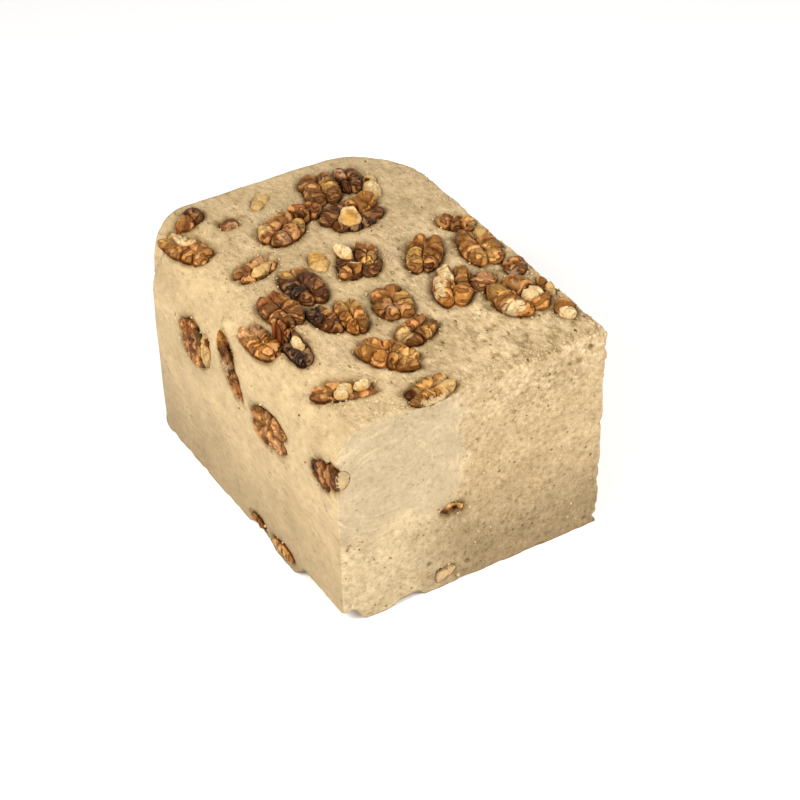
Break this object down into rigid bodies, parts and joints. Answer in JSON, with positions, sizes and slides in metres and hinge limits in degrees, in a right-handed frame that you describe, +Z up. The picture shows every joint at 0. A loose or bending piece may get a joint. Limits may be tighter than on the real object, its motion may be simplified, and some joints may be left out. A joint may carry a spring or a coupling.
{
  "type": "sunflower halva block with walnuts",
  "caption": "Block of pressed sunflower-seed halva with a round shoulder and a crumbly cut front, studded with walnut kernels, for a counter, board or kitchen scene.",
  "frame": {"origin": "the middle of the underside, on the surface that the block stands on", "axes": "+Z up; +Y along the block from the cut front face to the back; +X to the right of someone who faces the cut front"},
  "size_m": [0.165, 0.2205, 0.1355],
  "materials": {
    "halva": "matte",
    "walnut_amber": "satin",
    "walnut_brown": "satin",
    "walnut_dark": "satin",
    "walnut_pale": "satin"
  },
  "bodies": {
    "root": {"halva_block": "halva", "walnut_back_01": "walnut_amber", "walnut_back_02": "walnut_brown", "walnut_front_01": "walnut_brown", "walnut_front_02": "walnut_pale", "walnut_left_01": "walnut_brown", "walnut_left_02": "walnut_pale", "walnut_left_03": "walnut_dark", "walnut_left_04": "walnut_brown", "walnut_left_05": "walnut_dark", "walnut_left_06": "walnut_amber", "walnut_left_07": "walnut_dark", "walnut_right_01": "walnut_brown", "walnut_right_02": "walnut_amber", "walnut_top_01": "walnut_dark", "walnut_top_02": "walnut_amber", "walnut_top_03": "walnut_brown", "walnut_top_04": "walnut_pale", "walnut_top_05": "walnut_brown", "walnut_top_06": "walnut_brown", "walnut_top_07": "walnut_dark", "walnut_top_08": "walnut_pale", "walnut_top_09": "walnut_dark", "walnut_top_10": "walnut_brown", "walnut_top_11": "walnut_amber", "walnut_top_12": "walnut_pale", "walnut_top_13": "walnut_brown", "walnut_top_14": "walnut_pale", "walnut_top_15": "walnut_pale", "walnut_top_16": "walnut_dark", "walnut_top_17": "walnut_brown", "walnut_top_18": "walnut_pale", "walnut_top_19": "walnut_amber", "walnut_top_20": "walnut_dark", "walnut_top_21": "walnut_brown", "walnut_top_22": "walnut_dark", "walnut_top_23": "walnut_amber", "walnut_top_24": "walnut_dark", "walnut_top_25": "walnut_brown", "walnut_top_26": "walnut_amber", "walnut_top_27": "walnut_pale", "walnut_top_28": "walnut_brown", "walnut_top_29": "walnut_pale", "walnut_top_30": "walnut_pale", "walnut_top_31": "walnut_amber", "walnut_top_32": "walnut_brown", "walnut_top_33": "walnut_amber", "walnut_top_34": "walnut_amber", "walnut_top_35": "walnut_amber", "walnut_top_36": "walnut_amber", "walnut_top_37": "walnut_brown", "walnut_top_38": "walnut_brown", "walnut_top_39": "walnut_amber", "walnut_top_40": "walnut_brown", "walnut_top_41": "walnut_amber", "walnut_top_42": "walnut_pale", "walnut_top_43": "walnut_amber", "walnut_top_44": "walnut_amber"}
  },
  "joints": []
}
